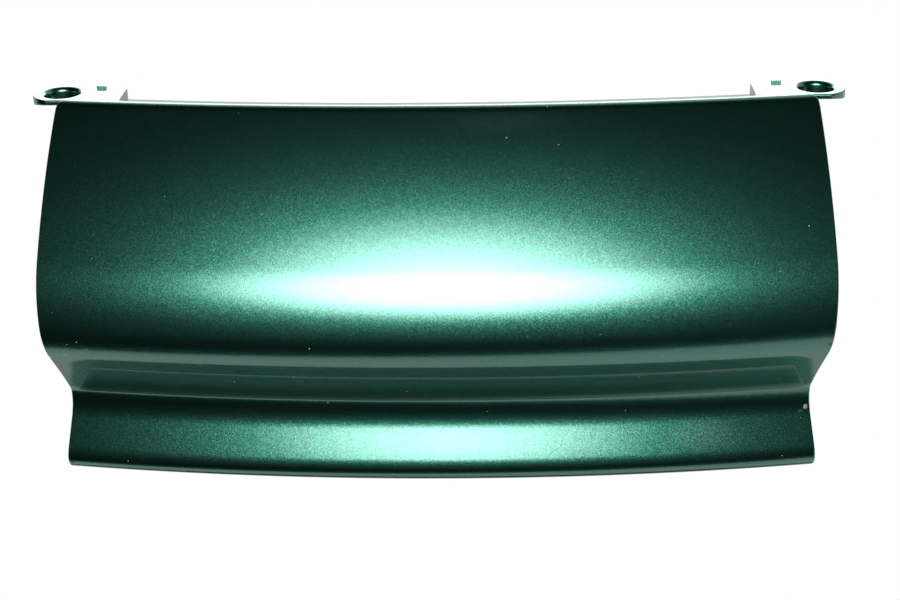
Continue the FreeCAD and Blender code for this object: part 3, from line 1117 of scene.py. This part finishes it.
@dataclass
class Studio:
    """White sweep behind and below the cover, a dim room in front of it, and two soft lamps, in metres."""

    camera: PhotoCamera = field(default_factory=PhotoCamera)
    room: float = 0.0067
    floor_height: float = -0.15
    floor_front: float = -0.12
    floor_depth: float = 2.0
    floor_width: float = 3.0
    floor_colour: Colour = (0.9, 0.9, 0.9, 1.0)
    sweep_side: Triple = (0.357, 0.794, -0.492)
    sweep_fade: Pair = (-0.07, 0.08)
    sweep_level: float = 0.52
    shadow_middle: Pair = (-0.036, 0.24)
    shadow_half: Pair = (0.347, 0.19)
    shadow_bow: float = 0.53
    shadow_powers: Pair = (14.0, 2.5)
    shadow_fade: Pair = (0.9, 1.1)
    shadow_least_drop: float = 0.01
    key_size: Pair = (0.280, 0.301)
    key_core: float = 0.2
    key_level: float = 9.9
    key_left: float = 0.0245
    key_up: float = 0.002
    key_back: float = 0.03
    rear_size: Pair = (1.6, 0.6)
    rear_place: Triple = (0.0, 1.0, 0.36)
    rear_power: float = 5.5

    def build(self) -> None:
        """Makes the world, the floor and the lamps."""
        self.light_world()
        self.lay_floor()
        self.hang_key()
        self.hang_rear()

    def seen_white(self, sheet: NodeSheet) -> bpy.types.NodeSocket:
        """Tells which rays show the floor as background: straight, mirrored or through glass.

        Args:
            sheet: node sheet of the floor's material.

        Returns:
            Socket that is 1 for those rays and 0 for the rest.
        """
        path = sheet.add("ShaderNodeLightPath").outputs
        either = sheet.math("MAXIMUM", path["Is Camera Ray"], path["Is Transmission Ray"])
        return sheet.math("MAXIMUM", either, path["Is Glossy Ray"])

    def light_world(self) -> None:
        """White world beyond the cover, dim on the camera's side, and white wherever the camera sees it."""
        world = bpy.data.worlds.new("studio")
        bpy.context.scene.world = world
        world.use_nodes = True
        sheet = NodeSheet(world.node_tree)
        heading = sheet.add("ShaderNodeTexCoord").outputs["Generated"]
        beyond = sheet.add(
            "ShaderNodeVectorMath", {0: heading, 1: self.sweep_side}, operation="DOT_PRODUCT"
        )
        sweep = sheet.ramp(beyond.outputs["Value"], *self.sweep_fade)
        lit = sheet.math("MULTIPLY", sweep, self.outside_shadow(sheet, heading))
        level = sheet.line(lit, self.sweep_level - self.room, self.room)
        straight = sheet.add("ShaderNodeLightPath").outputs["Is Camera Ray"]
        strength = sheet.math("MAXIMUM", level, straight)
        light = sheet.add("ShaderNodeBackground", {"Color": WHITE, "Strength": strength})
        sheet.add("ShaderNodeOutputWorld", {"Surface": light.outputs[0]})

    def outside_shadow(self, sheet: NodeSheet, heading: bpy.types.NodeSocket) -> bpy.types.NodeSocket:
        """Leaves out the dark strip that the cover's own shadow lays on the sweep below it.

        Args:
            sheet: node sheet of the world.
            heading: direction that is looked in.

        Returns:
            Socket that is 0 in the strip and 1 round it.
        """
        parts = sheet.add("ShaderNodeSeparateXYZ", {0: heading}).outputs
        drop = sheet.math("MAXIMUM", sheet.math("MULTIPLY", parts["Z"], -1.0), self.shadow_least_drop)
        aside = sheet.math("DIVIDE", parts["X"], drop)
        bow = sheet.math("MULTIPLY", sheet.math("POWER", aside, 2.0), self.shadow_bow)
        back = sheet.math("SUBTRACT", sheet.math("DIVIDE", parts["Y"], drop), bow)
        share = []
        sizes = zip((aside, back), self.shadow_middle, self.shadow_half, self.shadow_powers)
        for value, middle, half, power in sizes:
            offset = sheet.math("DIVIDE", sheet.math("SUBTRACT", value, middle), half)
            share.append(sheet.math("POWER", sheet.math("ABSOLUTE", offset), power))
        return sheet.ramp(sheet.math("ADD", *share), *self.shadow_fade)

    def lay_floor(self) -> None:
        """Plain white floor under and behind the cover."""
        material = bpy.data.materials.new("white_floor")
        material.use_nodes = True
        sheet = NodeSheet(material.node_tree)
        matt = sheet.add("ShaderNodeBsdfDiffuse", {"Color": self.floor_colour})
        bright = sheet.add("ShaderNodeEmission", {"Color": WHITE, "Strength": 1.0})
        mixed = sheet.add(
            "ShaderNodeMixShader", {0: self.seen_white(sheet), 1: matt.outputs[0], 2: bright.outputs[0]}
        )
        sheet.add("ShaderNodeOutputMaterial", {"Surface": mixed.outputs[0]})
        bm = bmesh.new()
        bmesh.ops.create_grid(bm, x_segments=1, y_segments=1, size=0.5)
        bmesh.ops.scale(bm, vec=(self.floor_width, self.floor_depth, 1.0), verts=bm.verts)
        middle = Vector((0.0, self.floor_front + self.floor_depth / 2, self.floor_height))
        bmesh.ops.translate(bm, vec=middle, verts=bm.verts)
        floor = mesh_object("floor", bm, [material])
        floor.visible_glossy = False

    def hang_lamp(
        self, name: str, size: Pair, power: float, place: Vector, target: Vector
    ) -> bpy.types.AreaLight:
        """Hangs one soft lamp.

        Args:
            name: the lamp's name.
            size: its width and height, in metres.
            power: its power, in watts.
            place: where it hangs.
            target: point that it faces.

        Returns:
            The lamp's data.
        """
        data = bpy.data.lights.new(name, "AREA")
        data.shape = "ELLIPSE"
        data.size, data.size_y = size
        data.energy = power
        lamp = bpy.data.objects.new(name, data)
        lamp.visible_camera = False
        turn = (target - place).to_track_quat("-Z", "Y").to_matrix().to_4x4()
        lamp.matrix_world = Matrix.Translation(place) @ turn
        bpy.context.scene.collection.objects.link(lamp)
        return data

    def hang_key(self) -> None:
        """Soft oval lamp close by the camera, which fades out towards its rim."""
        frame = self.camera.frame()
        place = frame @ Vector((-self.key_left, self.key_up, self.key_back))
        target = Vector(self.camera.target) * MM
        wide, tall = self.key_size
        power = self.key_level * math.pi * math.pi * wide * tall
        lamp = self.hang_lamp("key_lamp", (2 * wide, 2 * tall), power, place, target)
        lamp.use_nodes = True
        sheet = NodeSheet(lamp.node_tree)
        spot = sheet.add("ShaderNodeNewGeometry").outputs["Parametric"]
        distance = sheet.length(sheet.vector("SUBTRACT", spot, LAMP_MIDDLE))
        strength = sheet.ramp(distance, LAMP_RIM, LAMP_RIM * self.key_core)
        glow = sheet.add("ShaderNodeEmission", {"Color": WHITE, "Strength": strength})
        sheet.add("ShaderNodeOutputLight", {"Surface": glow.outputs[0]})

    def hang_rear(self) -> None:
        """Broad soft lamp behind the cover, above the camera's view."""
        place = Vector(self.rear_place)
        self.hang_lamp("rear_lamp", self.rear_size, self.rear_power, place, Vector((0.0, 0.0, 0.0)))


def main() -> None:
    """Builds the cover, the studio and the camera."""
    logging.basicConfig(level=logging.INFO, format="%(name)s: %(message)s")
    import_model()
    cover = LowerCover().build()
    log.info("%s has %d faces", cover.name, len(cover.data.polygons))
    camera = PhotoCamera()
    camera.build()
    Studio(camera=camera).build()
    bpy.context.scene.view_settings.view_transform = "Standard"


if __name__ == "__main__":
    main()
